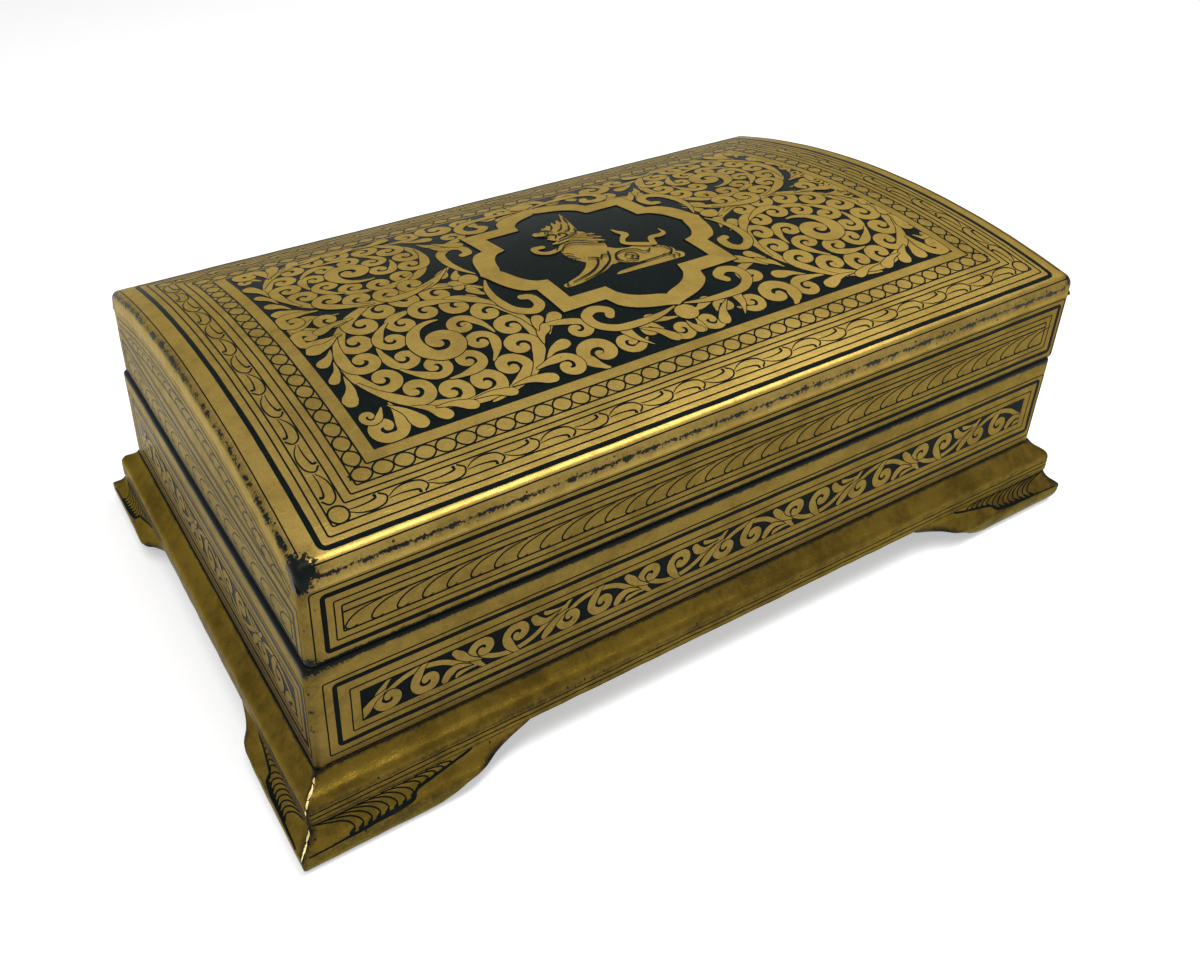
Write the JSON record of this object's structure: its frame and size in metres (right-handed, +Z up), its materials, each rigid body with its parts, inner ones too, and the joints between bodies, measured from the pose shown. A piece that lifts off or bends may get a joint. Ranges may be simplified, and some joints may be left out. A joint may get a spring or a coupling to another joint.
{
  "type": "lidded box",
  "caption": "Oblong lacquered wooden box with a low arched lift-off lid, gilded all over, on a moulded plinth with ogee bracket feet.",
  "frame": {"origin": "on the ground under the middle of the box", "axes": "+X along the length of the box, to the right as seen from the front, +Y from the front to the back, +Z up"},
  "size_m": [0.3214, 0.1974, 0.1089],
  "materials": {
    "gilded_lacquer": "gold leaf on black lacquer on wood, rubbed to a satin shine, with lines drawn in black",
    "black_lacquer": "glossy black lacquer on wood",
    "bare_wood": "plain unfinished softwood",
    "bamboo": "split bamboo"
  },
  "bodies": {
    "case": {"case_back_wall": "gilded_lacquer", "case_corner_pegs": "bamboo", "case_front_wall": "gilded_lacquer", "case_left_wall": "gilded_lacquer", "case_right_wall": "gilded_lacquer", "floor_board": "black_lacquer", "foot_back_a": "gilded_lacquer", "foot_back_b": "gilded_lacquer", "foot_front_a": "gilded_lacquer", "foot_front_b": "gilded_lacquer", "foot_left_a": "gilded_lacquer", "foot_left_b": "gilded_lacquer", "foot_right_a": "gilded_lacquer", "foot_right_b": "gilded_lacquer", "glue_block_back_left": "bare_wood", "glue_block_back_right": "bare_wood", "glue_block_front_left": "bare_wood", "glue_block_front_right": "bare_wood", "lip_liner_back": "black_lacquer", "lip_liner_front": "black_lacquer", "lip_liner_left": "black_lacquer", "lip_liner_right": "black_lacquer", "plinth_back": "gilded_lacquer", "plinth_front": "gilded_lacquer", "plinth_left": "gilded_lacquer", "plinth_right": "gilded_lacquer"},
    "lid": {"crown_board": "gilded_lacquer", "lid_back_wall": "gilded_lacquer", "lid_corner_pegs": "bamboo", "lid_front_wall": "gilded_lacquer", "lid_left_wall": "gilded_lacquer", "lid_right_wall": "gilded_lacquer"}
  },
  "joints": [
    {"name": "lid_lift", "type": "slide", "parent": "case", "child": "lid", "axis": [0, 0, 1], "range_m": [0, 0.1]}
  ]
}
